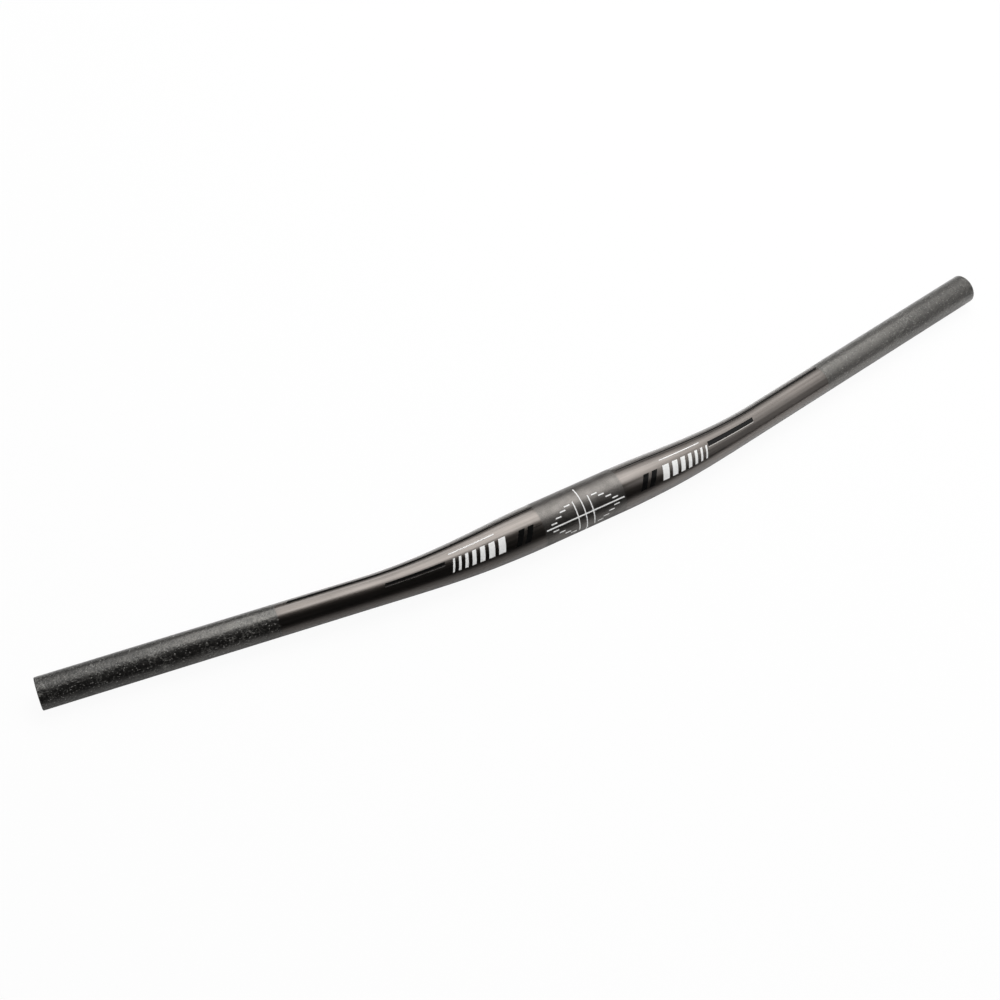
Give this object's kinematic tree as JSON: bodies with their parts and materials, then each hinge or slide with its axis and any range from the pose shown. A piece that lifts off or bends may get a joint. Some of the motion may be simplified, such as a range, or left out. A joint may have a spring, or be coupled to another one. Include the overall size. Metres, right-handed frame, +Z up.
{
  "type": "mountain bike handlebar",
  "caption": "Flat mountain bike handlebar: a hollow tube, thick where a stem clamps it, tapering as it bends back to slim straight grips with open ends.",
  "frame": {"origin": "centre of the clamp, on the tube's axis", "axes": "+X along the clamped middle, +Y back towards the rider and the grips' tips, +Z up; the bar lies on the clamp's underside and both tips"},
  "size_m": [0.7534, 0.0681, 0.0318],
  "materials": {
    "laminate": "carbon laminate, clear-coated gloss on the tapers and satin on the grips and clamp",
    "print": "thin screen print"
  },
  "bodies": {
    "root": {"handlebar": "laminate"}
  },
  "joints": []
}
